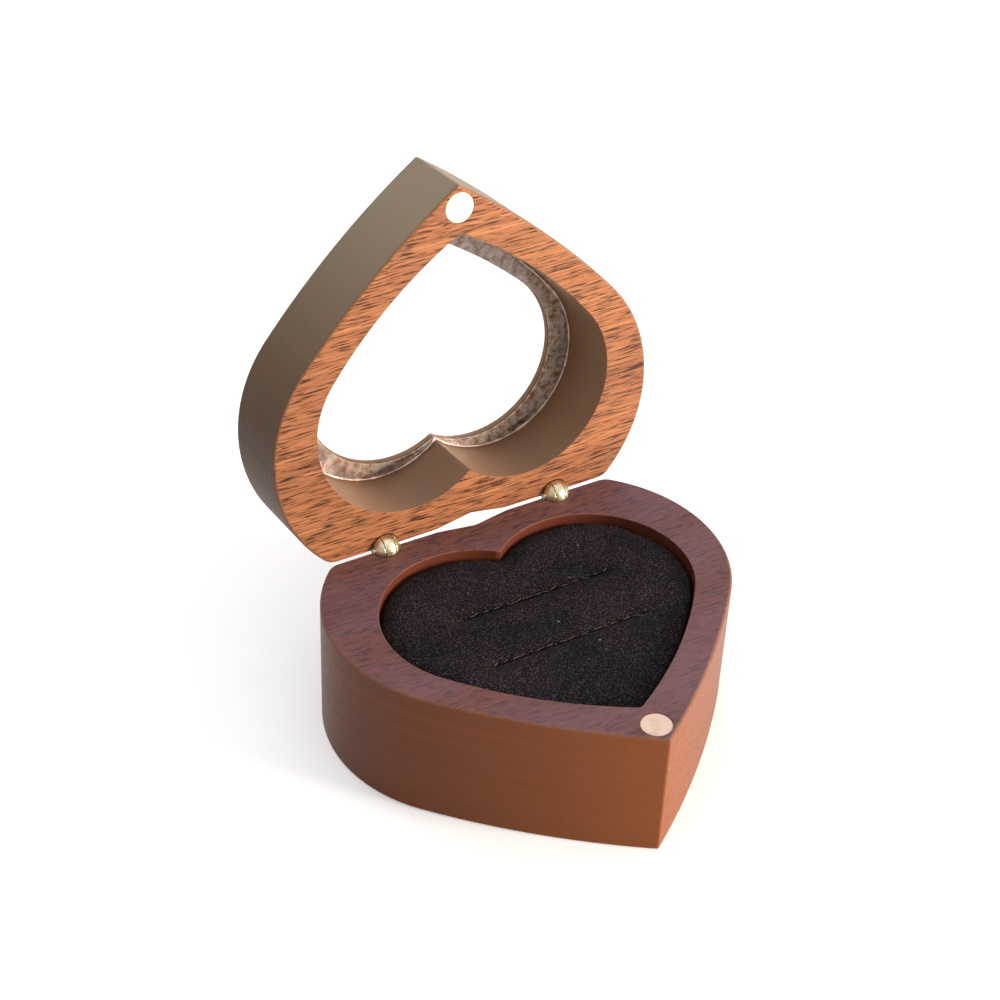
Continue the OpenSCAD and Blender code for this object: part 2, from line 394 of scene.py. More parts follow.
        figure = add(tree, "ShaderNodeMix", {
            0: mapped(tree, flat, self.face_span, (0.12, 0.55)), 2: rings, 3: fibres},
            data_type="FLOAT").outputs[0]
        colour = ramp(tree, figure, [
            (0.34, self.dark), (0.48, self.middle), (0.53, self.middle), (0.66, self.light)])
        layers = [
            (mapped(tree, patches, (0.4, 0.68), (0.0, self.patch_strength)), self.tint),
            (times(tree, pores, self.pore_strength), self.pore),
            # painted shade on the cut sides
            (mapped(tree, flat, self.side_span, (self.side_shade_share, 0.0)), self.side),
            # painted light on the sides towards the tip
            (times(tree, tip_highlight_mask, off_face), self.tip_highlight),
            # painted sheen on the flat faces
            (times(tree, painted_sheen, on_face), self.painted_sheen),
            (self.marked(tree, "milled", self.milled_share), self.milled),
            # painted highlight, partly sanding wear, on the rounded edges
            (self.marked(tree, "eased", self.edge_highlight_share), self.edge),
        ]
        for share, over in layers:
            colour = blend(tree, share, colour, over)

        gloss = mapped(tree, fibres, (0.3, 0.7), (self.roughness - 0.06, self.roughness + 0.1))
        relief = add(tree, "ShaderNodeMath", {0: fibres, 1: pores}, operation="SUBTRACT")
        bump = add(tree, "ShaderNodeBump", {
            "Strength": 0.45, "Distance": 0.06 * MM, "Height": relief.outputs[0]})
        shader = add(tree, "ShaderNodeBsdfPrincipled", {
            "Base Color": colour, "Roughness": gloss,
            "IOR": 1.46, "Specular IOR Level": self.specular,
            "Normal": bump.outputs["Normal"]})
        tree.links.new(shader.outputs[0], out.inputs["Surface"])
        return material


@dataclass(frozen=True)
class FlockedVelvet(Finish):
    """Short rayon flock glued on foam: nearly black, with a soft purple-brown bloom."""

    name: str = "flocked_velvet"
    pile: str = "#070506"
    bloom: str = "#66555a"
    lint: str = "#8d7f80"
    pile_mm: float = 0.21

    def make(self) -> Material:
        """Build the velvet's material.

        Returns:
            The material.
        """
        material, tree, out = blank_material(self.name)
        place = add(tree, "ShaderNodeTexCoord").outputs["Object"]
        nap = add(tree, "ShaderNodeTexNoise", {
            "Vector": place, "Scale": 1 / (self.pile_mm * MM), "Detail": 2.0,
            "Roughness": 0.7})
        drift = add(tree, "ShaderNodeTexNoise", {
            "Vector": place, "Scale": 120.0, "Detail": 3.0})
        mixed = add(tree, "ShaderNodeMix", {
            0: 0.12, 2: nap.outputs["Fac"], 3: drift.outputs["Fac"]}, data_type="FLOAT")
        cloth = ramp(tree, mixed.outputs[0], [(0.53, self.pile), (0.72, self.bloom)])
        fluff = add(tree, "ShaderNodeTexVoronoi", {
            "Vector": place, "Scale": 420.0, "Randomness": 1.0}, feature="F1")
        speck = mapped(tree, fluff.outputs["Distance"], (0.05, 0.11), (0.7, 0.0))
        rare = mapped(tree, fluff.outputs["Color"], (0.72, 0.74), (0.0, 1.0))
        colour = blend(tree, times(tree, speck, rare), cloth, self.lint)
        bump = add(tree, "ShaderNodeBump", {
            "Strength": 0.8, "Distance": 0.12 * MM, "Height": nap.outputs["Fac"]})
        shader = add(tree, "ShaderNodeBsdfPrincipled", {
            "Base Color": colour, "Roughness": 0.95, "Specular IOR Level": 0.15,
            "Sheen Weight": 0.05, "Sheen Roughness": 0.45,
            "Sheen Tint": linear("#b9a3a6"), "Normal": bump.outputs["Normal"]})
        tree.links.new(shader.outputs[0], out.inputs["Surface"])
        return material


@dataclass(frozen=True)
class Metal(Finish):
    """A turned, ground or plated metal, with the fine marks that its making left."""

    name: str
    colour: str
    shade: str
    roughness: float
    mark_mm: float = 0.25
    mark_stretch: tuple[float, float, float] = (1.0, 1.0, 0.08)

    def make(self) -> Material:
        """Build the metal's material.

        Returns:
            The material.
        """
        material, tree, out = blank_material(self.name)
        place = add(tree, "ShaderNodeTexCoord").outputs["Object"]
        scale = 1 / (self.mark_mm * MM)
        along = add(tree, "ShaderNodeMapping", {
            "Vector": place, "Scale": tuple(scale * s for s in self.mark_stretch),
        }).outputs["Vector"]
        marks = add(tree, "ShaderNodeTexNoise", {
            "Vector": along, "Scale": 1.0, "Detail": 3.0, "Roughness": 0.6})
        tarnish = add(tree, "ShaderNodeTexNoise", {
            "Vector": place, "Scale": 500.0, "Detail": 2.0})
        colour = ramp(tree, tarnish.outputs["Fac"], [(0.35, self.shade), (0.6, self.colour)])
        gloss = mapped(
            tree, marks.outputs["Fac"], (0.3, 0.7), (self.roughness - 0.07, self.roughness + 0.1))
        bump = add(tree, "ShaderNodeBump", {
            "Strength": 0.2, "Distance": 0.02 * MM, "Height": marks.outputs["Fac"]})
        shader = add(tree, "ShaderNodeBsdfPrincipled", {
            "Base Color": colour, "Metallic": 1.0, "Roughness": gloss,
            "Normal": bump.outputs["Normal"]})
        tree.links.new(shader.outputs[0], out.inputs["Surface"])
        return material


@dataclass(frozen=True)
class ClearAcrylic(Finish):
    """Cast acrylic sheet, laser cut and polished: clear, with faint handling smears."""

    name: str = "clear_acrylic"

    def make(self) -> Material:
        """Build the acrylic's material.

        Returns:
            The material.
        """
        material, tree, out = blank_material(self.name)
        place = add(tree, "ShaderNodeTexCoord").outputs["Object"]
        smears = add(tree, "ShaderNodeTexNoise", {
            "Vector": place, "Scale": 60.0, "Detail": 4.0, "Distortion": 1.5})
        haze = mapped(tree, smears.outputs["Fac"], (0.45, 0.75), (0.0, 0.05))
        shader = add(tree, "ShaderNodeBsdfPrincipled", {
            "Base Color": linear("#fbfdfd"), "Roughness": haze,
            "IOR": 1.49, "Transmission Weight": 1.0})
        tree.links.new(shader.outputs[0], out.inputs["Surface"])
        return material


@dataclass(frozen=True)
class SetGlue(Finish):
    """Clear-drying glue that set cloudy: cream where thick, with tiny trapped bubbles."""

    name: str = "set_glue"
    thick: str = "#f3dcc8"
    thin: str = "#ab764c"

    def make(self) -> Material:
        """Build the glue's material.

        Returns:
            The material.
        """
        material, tree, out = blank_material(self.name)
        place = add(tree, "ShaderNodeTexCoord").outputs["Object"]
        clouds = add(tree, "ShaderNodeTexNoise", {
            "Vector": place, "Scale": 700.0, "Detail": 4.0, "Roughness": 0.7})
        colour = ramp(tree, clouds.outputs["Fac"], [(0.38, self.thin), (0.58, self.thick)])
        bump = add(tree, "ShaderNodeBump", {
            "Strength": 0.5, "Distance": 0.08 * MM, "Height": clouds.outputs["Fac"]})
        shader = add(tree, "ShaderNodeBsdfPrincipled", {
            "Base Color": colour, "Roughness": 0.35, "IOR": 1.46,
            "Subsurface Weight": 0.2, "Subsurface Scale": 0.4 * MM,
            "Normal": bump.outputs["Normal"]})
        tree.links.new(shader.outputs[0], out.inputs["Surface"])
        return material


@dataclass(frozen=True)
class LightTable(Finish):
    """A plain pale light table: matt white acrylic, faintly mottled and softly lit from below."""

    name: str = "light_table"
    glow: float = 0.22

    def make(self) -> Material:
        """Build the floor's material.

        Returns:
            The material.
        """
        material, tree, out = blank_material(self.name)
        place = add(tree, "ShaderNodeTexCoord").outputs["Object"]
        mottle = add(tree, "ShaderNodeTexNoise", {
            "Vector": place, "Scale": 9.0, "Detail": 3.0})
        colour = ramp(tree, mottle.outputs["Fac"], [(0.3, "#f3f1ee"), (0.7, "#f6f5f2")])
        shader = add(tree, "ShaderNodeBsdfPrincipled", {
            "Base Color": colour, "Roughness": 0.9, "Specular IOR Level": 0.2,
            "Emission Color": colour, "Emission Strength": self.glow})
        tree.links.new(shader.outputs[0], out.inputs["Surface"])
        return material


# The base's walnut has painted shade on its cut sides, painted light on its sides towards the tip
# and a painted sheen on its top
BASE_WALNUT = OiledWalnut(
    "oiled_walnut_base", light="#8c5033", offset=(11.0, 4.0, 0.0), roughness=0.38,
    pore_strength=0.9, side="#512810", side_shade_share=0.7, tip_highlight="#90501f", tip_highlight_share=0.45,
    painted_sheen="#90707a", painted_sheen_share=0.4, milled="#5b2e22", milled_share=0.7)
# The lid's walnut is lighter than the base's, partly its own paler wood and partly painted light
# for its brightly lit face; it also has painted shade on its cut sides and painted light on its
# sides towards the tip
LID_WALNUT = OiledWalnut(
    "oiled_walnut_lid", tint="#6a4530", light="#c08358", middle="#955f3e", dark="#532f1c",
    pore="#2e1910", offset=(40.0, 23.0, 9.0), pith=(-190.0, 25.0), ring_mm=3.4,
    pore_mm=0.13, pore_length_mm=3.8, pore_strength=0.9, patch_strength=0.35,
    side="#2e230c", side_shade_share=0.85, tip_highlight="#a08e72", tip_highlight_share=0.6,
    milled="#a07a5c", milled_share=0.6)
VELVET = FlockedVelvet()
BRASS = Metal("milled_brass", "#f1e4c2", "#d6c193", 0.3, 0.2, (0.1, 1.0, 1.0))
NICKEL = Metal("nickel_plating", "#ead3c1", "#dcc6b5", 0.7, 0.5, (1.0, 1.0, 1.0))
PIN_STEEL = Metal("ground_steel", "#a9a7a3", "#8a8884", 0.3, 0.2, (0.1, 1.0, 1.0))
ACRYLIC = ClearAcrylic()
GLUE = SetGlue()
BEAD_GLUE = SetGlue("squeezed_glue", thick="#f2dfd0", thin="#c29880")
LINT = FlockedVelvet("loose_flock_fibres", pile="#7d6b62", bloom="#b5a497")
FLOOR = LightTable()


# ---------------------------------------------------------------------------- frame facts

class Side(Enum):
    """The box's two hinges."""

    LEFT = "left"
    RIGHT = "right"


@dataclass(frozen=True)
class LidTurn:
    """Where the lid turns, read from the frame's lid joint."""

    pivot: Vector
    closing: float

    @classmethod
    def from_frame(cls) -> "LidTurn":
        """Read the lid's joint from the frame."""
        joint = next(j for j in frame["joints"] if j["name"] == "lid_hinge")
        return cls(Vector(joint["pos_m"]), math.radians(joint["range_deg"][1]))

    def to_closed(self) -> Matrix:
        """Matrix that takes the open lid to its closed place."""
        turn = Matrix.Rotation(self.closing, 4, "X")
        return Matrix.Translation(self.pivot) @ turn @ Matrix.Translation(-self.pivot)


def middle_of(node: str) -> Vector:
    """Return the middle of a CAD node's box."""
    low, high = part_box(node)
    return (low + high) / 2


def pocket_box() -> tuple[Vector, Vector]:
    """Return the box round the base's pocket, a little larger than the cloth that fills it."""
    low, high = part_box("velvet_face")
    margin = Vector((1.2, 1.2, 0.0)) * MM
    return low - margin, high + margin


LID_TURN = LidTurn.from_frame()
HINGE_PLACES = [(middle_of(f"{side.value}_pin").x, LID_TURN.pivot.y) for side in Side]
MAGNET_PLACE = middle_of("base_magnet")
POCKET_BOX = pocket_box()


# ---------------------------------------------------------------------------- hard pieces

EdgeTest = Callable[[BMEdge], bool]


def cad_bmesh(node: str, turned: Matrix = Matrix()) -> BMesh:
    """Copy a CAD node's mesh, weld it and clear away the triangles of its flat faces.

    Args:
        node: The CAD node's name.
        turned: Matrix that the copy is moved by first, such as the open lid's to closed.

    Returns:
        The welded copy.
    """
    bm = bmesh.new()
    bm.from_mesh(frame["nodes"][node].data)
    bm.transform(turned)
    bmesh.ops.remove_doubles(bm, verts=bm.verts, dist=0.002 * MM)
    bmesh.ops.dissolve_limit(
        bm, angle_limit=math.radians(0.4), verts=bm.verts, edges=bm.edges, delimit=set())
    return bm


def crease_angle(edge: BMEdge) -> float:
    """Return the angle between an edge's two faces, or zero where it has no two faces."""
    return edge.calc_face_angle(0.0) if len(edge.link_faces) == 2 else 0.0


def ease(bm: BMesh, wanted: EdgeTest, width: float, segments: int = 3) -> None:
    """Round the chosen sharp edges, and mark the rounded band in the "eased" attribute.

    Args:
        bm: The mesh to change.
        wanted: Says whether a sharp edge is to be rounded.
        width: How far the rounding reaches from the edge.
        segments: Number of faces across the rounding.
    """
    layer = bm.verts.layers.float.get("eased") or bm.verts.layers.float.new("eased")
    sharp = [e for e in bm.edges if crease_angle(e) > math.radians(SHARP_DEG) and wanted(e)]
    made = bmesh.ops.bevel(
        bm, geom=sharp, offset=width, offset_type="OFFSET", segments=segments, profile=0.5,
        affect="EDGES", clamp_overlap=False)
    # the walnut lays a painted highlight over the band marked here
    band = set(made["faces"])
    for vert in made["verts"]:
        if vert.is_valid and all(f in band for f in vert.link_faces):
            vert[layer] = 1.0


@dataclass
class HardPiece:
    """One hard piece of the box: an eased copy of its CAD node."""

    node: str
    body: str
    finish: Finish
    slot: str
    width: float
    segments: int = 2
    in_lid: bool = False

    def round_edges(self, bm: BMesh) -> None:
        """Round all of the piece's sharp edges."""
        ease(bm, lambda edge: True, self.width, self.segments)

    def add(self) -> None:
        """Copy and ease the node's mesh, dress the piece and tie it to its body."""
        closed = LID_TURN.to_closed() if self.in_lid else Matrix()
        bm = cad_bmesh(self.node, closed)
        self.round_edges(bm)
        piece = object_from(bm, self.node + "_piece")
        piece.matrix_world = closed.inverted()
        self.finish.dress(piece)
        weigh = piece.modifiers.new("even_normals", "WEIGHTED_NORMAL")
        weigh.keep_sharp = True
        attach(piece, self.body)
        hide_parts(self.node)
        log.info("%s rides on %s", piece.name, self.body)


@dataclass
class WoodBlock(HardPiece):
    """The base or the lid: a heart-shaped block with a pocket, eased by hand along its edges."""

    pocket_ease: float = 0.18 * MM
    bore_clear: float = 2.6 * MM
    magnet_clear: float = 2.75 * MM
    heart_share: float = 0.6

    def near_fitting(self, edge: BMEdge) -> bool:
        """Tell whether an edge belongs to a barrel's bore, to its slot or to the magnet's hole.

        Args:
            edge: The edge.

        Returns:
            True for an edge beside a fitting, which stays sharp.
        """
        middle = (edge.verts[0].co + edge.verts[1].co) / 2
        holes = [(x, y, self.bore_clear) for x, y in HINGE_PLACES]
        holes.append((MAGNET_PLACE.x, MAGNET_PLACE.y, self.magnet_clear))
        return any(math.hypot(middle.x - x, middle.y - y) < clear for x, y, clear in holes)

    def level(self, edge: BMEdge) -> bool:
        """Tell whether an edge lies level with the floor when the lid is closed."""
        return abs(edge.verts[0].co.z - edge.verts[1].co.z) < 0.01 * MM

    def walls_pocket(self, middle: Vector, normal: Vector) -> bool:
        """Tell whether a face stands in the pocket or the window and looks into it.

        Args:
            middle: A point on the face.
            normal: The face's normal.

        Returns:
            True for a face of the pocket's or the window's wall.
        """
        low, high = POCKET_BOX
        inside = low.x < middle.x < high.x and low.y < middle.y < high.y
        heart = Vector(((low.x + high.x) / 2, low.y + self.heart_share * (high.y - low.y), 0.0))
        inward = Vector((heart.x - middle.x, heart.y - middle.y, 0.0))
        return inside and abs(normal.z) < UPRIGHT and normal.dot(inward) > 0

    def in_pocket(self, edge: BMEdge) -> bool:
        """Tell whether an edge belongs to the pocket or to the window."""
        middle = (edge.verts[0].co + edge.verts[1].co) / 2
        return any(self.walls_pocket(middle, face.normal) for face in edge.link_faces)

    def mark_milled(self, bm: BMesh) -> None:
        """Mark the pocket's milled walls in the "milled" attribute.

        Args:
            bm: The block's mesh.
        """
        layer = bm.faces.layers.float.new("milled")
        for face in bm.faces:
            if self.walls_pocket(face.calc_center_median(), face.normal):
                face[layer] = 1.0

    def round_edges(self, bm: BMesh) -> None:
        """Ease the block's outer edges and its pocket's rim, and mark the pocket's walls.

        Args:
            bm: The block's mesh, as when the lid is closed.
        """
        eased = {e for e in bm.edges if self.level(e) and not self.near_fitting(e)}
        rim = {e for e in eased if self.in_pocket(e)}
        outer = eased - rim
        ease(bm, lambda e: e in outer, self.width, self.segments)
        ease(bm, lambda e: e in rim, self.pocket_ease, 2)
        self.mark_milled(bm)


@dataclass
class BarrelHinge:
    """One barrel hinge: a barrel with a tongue, a barrel with two cheeks, and their pin."""

    side: Side
    barrel_ease: float = 0.1 * MM
    pin_ease: float = 0.08 * MM

    def add(self) -> None:
        """Build and dress all of the hinge's pieces."""
        name = self.side.value
        parts = [
            HardPiece(f"{name}_base_barrel", "base", BRASS, "brass", self.barrel_ease),
            HardPiece(f"{name}_lid_barrel", "lid", BRASS, "brass", self.barrel_ease),
            HardPiece(f"{name}_pin", "lid", PIN_STEEL, "steel_pin", self.pin_ease),
        ]
        for part in parts:
            part.add()


# ---------------------------------------------------------------------------- soft pad and bits

def face_loops(bm: BMesh, up: float) -> list[list[Vector]]:
    """Find the closed loops round the flat faces that look straight up or straight down.

    Args:
        bm: The mesh to read.
        up: 1 for the faces that look up, -1 for those that look down.

    Returns:
        Each loop's corners in order, the longest loop first.
    """
    flat = {f for f in bm.faces if f.normal.z * up > 0.99}
    rim = [e for e in bm.edges if sum(f in flat for f in e.link_faces) == 1]
    onward: dict = {}
    for edge in rim:
        for vert in edge.verts:
            onward.setdefault(vert, []).append(edge.other_vert(vert))
    loops, seen = [], set()
    for start in onward:
        if start in seen:
            continue
        loop, here, last = [], start, None
        while here not in seen:
            seen.add(here)
            loop.append(here.co.copy())
            following = [v for v in onward[here] if v is not last and v not in seen]
            last, here = here, following[0] if following else start
        loops.append(loop)
    return sorted(loops, key=lambda loop: -loop_length(loop))


def loop_length(loop: Sequence[Vector]) -> float:
    """Return the length of a closed loop."""
    return sum((b - a).length for a, b in zip(loop, [*loop[1:], loop[0]]))


def evenly(loop: Sequence[Vector], step: float) -> list[Vector]:
    """Place points at even steps along a closed loop.

    Args:
        loop: The loop's corners.
        step: The wanted distance between points.

    Returns:
        The new points in order.
    """
    count = max(8, round(loop_length(loop) / step))
    gap = loop_length(loop) / count
    points, walked = [], 0.0
    for a, b in zip(loop, [*loop[1:], loop[0]]):
        side = (b - a).length
        while walked < side and len(points) < count:
            points.append(a.lerp(b, walked / side))
            walked += gap
        walked -= side
    return points


def inside_loop(point: Vector, loop: Sequence[Vector]) -> bool:
    """Tell whether a point lies inside a closed loop, seen from above.

    Args:
        point: The point.
        loop: The loop's corners.

    Returns:
        True inside the loop.
    """
    inside = False
    for a, b in zip(loop, [*loop[1:], loop[0]]):
        if (a.y > point.y) != (b.y > point.y):
            if point.x < (b.x - a.x) * (point.y - a.y) / (b.y - a.y) + a.x:
                inside = not inside
    return inside


def reach_to(point: Vector, loop: Sequence[Vector]) -> float:
    """Measure how far a point is from a closed loop, seen from above.

    Args:
        point: The point.
        loop: The loop's corners.

    Returns:
        The distance to the loop's nearest side.
    """
    nearest = math.inf
    for a, b in zip(loop, [*loop[1:], loop[0]]):
        run = Vector((b.x - a.x, b.y - a.y))
        off = Vector((point.x - a.x, point.y - a.y))
        share = min(max(off.dot(run) / max(run.length_squared, 1e-12), 0.0), 1.0)
        nearest = min(nearest, (off - run * share).length)
    return nearest


@dataclass
class RingPad:
    """The soft ring pad: flocked foam, crowned at its edge, with two cut slits for the ring."""

    step: float = 1.0 * MM
    edge_step: float = 0.6 * MM
    edge_drop: float = 0.55 * MM
    edge_reach: float = 1.1 * MM
    lip_drop: float = 0.07 * MM
    lip_reach: float = 0.5 * MM
    slit_close: float = 0.9
    puff_cap: float = 0.3 * MM
    unevenness: float = 0.04 * MM
    row_share: float = 0.87
    slit_depth: float = 4.5 * MM
    slit_reach: float = 0.4 * MM
    cloth_scale: float = 25.0
    cloth_frames: int = 20
    cloth_mass: float = 0.05
    pressure: float = 8.0
    stiffness: float = 12.0

    def sheet(self, outline: list[Vector], slits: list[list[Vector]]) -> BMesh:
        """Triangulate the pad's top between its outline and its slits.

        Args:
            outline: The pad's outline in even steps.
            slits: The slits' outlines.

        Returns:
            The flat top.
        """
        loops = [outline, *slits]
        points = [Vector((p.x, p.y)) for loop in loops for p in loop]
        edges, start = [], 0
        for loop in loops:
            edges += [(start + i, start + (i + 1) % len(loop)) for i in range(len(loop))]
            start += len(loop)
        low = Vector((min(p.x for p in outline), min(p.y for p in outline)))
        high = Vector((max(p.x for p in outline), max(p.y for p in outline)))
        rows = int((high.y - low.y) / (self.step * self.row_share))
        for row in range(rows + 1):
            y = low.y + row * self.step * self.row_share
            x = low.x + (row % 2) * self.step / 2
            while x < high.x:
                here = Vector((x, y))
                clear = min(reach_to(here, loop) for loop in loops) > 0.45 * self.step
                if clear and inside_loop(here, outline):
                    points.append(here)
                x += self.step
        for loop in slits:
            middle = sum(loop, Vector()) / len(loop)
            for corner in loop:
                out = Vector((0.0, math.copysign(self.lip_reach * 0.6, corner.y - middle.y)))
                points.append(Vector((corner.x, corner.y)) + out)
        verts, _, faces, *_ = delaunay_2d_cdt(points, edges, [], 0, 0.01 * MM)
        bm = bmesh.new()
        made = [bm.verts.new((v.x, v.y, 0.0)) for v in verts]
        for face in faces:
            middle = sum((verts[i] for i in face), Vector((0.0, 0.0))) / len(face)
            if inside_loop(middle, outline) and not any(inside_loop(middle, s) for s in slits):
                bm.faces.new([made[i] for i in face])
        bmesh.ops.delete(bm, geom=[v for v in bm.verts if not v.link_faces], context="VERTS")
        for face in bm.faces:
            if face.normal.z < 0:
                face.normal_flip()
        return bm

    def puff(self, piece: Object, free: Sequence[int]) -> None:
        """Swell the pad's top like cloth over foam, and keep each point within the cap.

        Args:
            piece: The pad, at its real size.
            free: Indices of the points that may move.
        """
        cloth_size, real_size = self.cloth_scale, 1 / self.cloth_scale
        before = [v.co.copy() for v in piece.data.vertices]
        piece.data.transform(Matrix.Scale(cloth_size, 4))
        loose = set(free)
        held = piece.vertex_groups.new(name="held")
        held.add([v.index for v in piece.data.vertices if v.index not in loose], 1.0, "REPLACE")
        cloth = piece.modifiers.new("swell", "CLOTH")
        cloth.settings.vertex_group_mass = "held"
        cloth.settings.use_pressure = True
        cloth.settings.uniform_pressure_force = self.pressure
        cloth.settings.mass = self.cloth_mass
        cloth.settings.quality = 4
        cloth.settings.tension_stiffness = self.stiffness
        cloth.settings.compression_stiffness = self.stiffness
        cloth.settings.bending_stiffness = 1.0
        cloth.settings.effector_weights.gravity = 0.0
        cloth.collision_settings.use_collision = False
        cloth.point_cache.frame_start = 1
        cloth.point_cache.frame_end = self.cloth_frames
        scene = bpy.context.scene
        for step in range(1, self.cloth_frames + 1):
            scene.frame_set(step)
        swollen = piece.evaluated_get(bpy.context.evaluated_depsgraph_get()).data
        after = [v.co * real_size for v in swollen.vertices]
        piece.modifiers.remove(cloth)
        scene.frame_set(1)
        for vert, old, new in zip(piece.data.vertices, before, after):
            move = new - old
            if move.length > self.puff_cap:
                move = move.normalized() * self.puff_cap
            vert.co = old + move
        piece.data.update()

    def shape(self, bm: BMesh, outline: list[Vector], slits: list[list[Vector]],
              top: float) -> None:
        """Round the pad's edge and its slits' lips, and make its top slightly uneven.

        Args:
            bm: The flat top.
            outline: The pad's outline.
            slits: The slits' outlines.
            top: Height of the pad's face.
        """
        for vert in bm.verts:
            edge = min(reach_to(vert.co, outline) / self.edge_reach, 1.0)
            drop = self.edge_drop * (1 - math.sqrt(1 - (1 - edge) ** 2))
            for loop in slits:
                lip = min(reach_to(vert.co, loop) / self.lip_reach, 1.0)
                drop += self.lip_drop * (1 - math.sqrt(1 - (1 - lip) ** 2))
                if lip == 0.0:
                    middle = sum(loop, Vector()) / len(loop)
                    vert.co.y += (middle.y - vert.co.y) * self.slit_close
            ripple = noise.noise(vert.co * 160.0) * self.unevenness * edge
            vert.co.z = top - drop + ripple

    def build(self) -> Object:
        """Make the pad from the outline of its CAD face sheet.

        Returns:
            The pad, in place.
        """
        sheet = cad_bmesh("velvet_face")
        outline, *slits = face_loops(sheet, 1.0)
        sheet.free()
        low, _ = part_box("ring_pad")
        _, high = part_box("velvet_face")
        outline = evenly(outline, self.edge_step)
        slits = [evenly(loop, self.step) for loop in slits if len(loop) > 3]
        bm = self.sheet(outline, slits)
        self.shape(bm, outline, slits, high.z)
        bm.verts.index_update()
        rim = [e for e in bm.edges if len(e.link_faces) == 1]
        held = {v for e in rim for v in e.verts}
        free = [v.index for v in bm.verts if v not in held]
        walls = bmesh.ops.extrude_edge_only(bm, edges=rim)
        for vert in (g for g in walls["geom"] if isinstance(g, BMVert)):
            in_slit = any(reach_to(vert.co, loop) < self.slit_reach for loop in slits)
            vert.co.z = high.z - self.slit_depth if in_slit else low.z
        bottoms = [e for e in bm.edges if len(e.link_faces) == 1]
        bmesh.ops.holes_fill(bm, edges=bottoms, sides=0)
        bmesh.ops.recalc_face_normals(bm, faces=bm.faces)
        piece = object_from(bm, "ring_pad_piece", 60.0)
        self.puff(piece, free)
        return piece

    def add(self) -> Object:
        """Build the pad, dress it and tie it to the base.

        Returns:
            The pad, in place.
        """
        piece = self.build()
        VELVET.dress(piece)
        rounding = piece.modifiers.new("soft", "SUBSURF")
        rounding.levels = rounding.render_levels = 1
        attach(piece, "base")
        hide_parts("velvet_face", "ring_pad")
        log.info("%s rides on base, %d points", piece.name, len(piece.data.vertices))
        return piece


def sweep(bm: BMesh, path: Sequence[Vector], radii: Sequence[float], sides: int = 6,
          closed: bool = False) -> None:
    """Sweep a round section of changing radius along a path that lies nearly level.

    Args:
        bm: The mesh that gets the tube.
        path: The tube's middle line.
        radii: The radius at each point.
        sides: Number of sides round the tube.
        closed: Whether the path's ends meet.
    """
    rings = []
    count = len(path)
    for i, (here, radius) in enumerate(zip(path, radii)):
        after = path[(i + 1) % count] if closed or i < count - 1 else here
        before = path[i - 1] if closed or i > 0 else here
        along = (after - before).normalized()
        across = along.cross(Vector((0.0, 0.0, 1.0))).normalized()
        rise = across.cross(along)
        turns = [2 * math.pi * k / sides for k in range(sides)]
        rings.append([bm.verts.new(
            here + (across * math.cos(t) + rise * math.sin(t)) * radius) for t in turns])
    pairs = list(zip(rings, [*rings[1:], rings[0]])) if closed else list(zip(rings, rings[1:]))
    for ring, following in pairs:
        for k in range(sides):
            bm.faces.new((ring[k], ring[(k + 1) % sides],
                          following[(k + 1) % sides], following[k]))
    if not closed:
        bm.faces.new(rings[0])
        bm.faces.new(rings[-1][::-1])
    bmesh.ops.recalc_face_normals(bm, faces=bm.faces)


@dataclass
class GlueBead:
    """The thin uneven bead of glue that squeezed out where the pane meets the pocket's wall."""

    step: float = 0.5 * MM
    radius: float = 0.16 * MM
    spread: float = 0.12 * MM
    inset: float = 0.1 * MM

    def add(self) -> Object:
        """Build the bead, dress it and tie it to the lid.

        Returns:
            The bead, in place.
        """
        pane = cad_bmesh("window_pane", LID_TURN.to_closed())
        loop = evenly(face_loops(pane, -1.0)[0], self.step)
        pane.free()
        middle = sum(loop, Vector()) / len(loop)
        path, radii = [], []
        for point in loop:
            inward = (middle - point).normalized()
            wave = noise.noise(point * 420.0) + 0.6 * noise.noise(point * 1500.0)
            path.append(point + inward * self.inset)
            radii.append(max(self.radius + self.spread * wave, 0.03 * MM))
        bm = bmesh.new()
        sweep(bm, path, radii, 6, closed=True)
        piece = object_from(bm, "window_glue_bead", 80.0)
        piece.matrix_world = LID_TURN.to_closed().inverted()
        BEAD_GLUE.dress(piece)
        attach(piece, "lid")
        log.info("%s rides on lid", piece.name)
        return piece


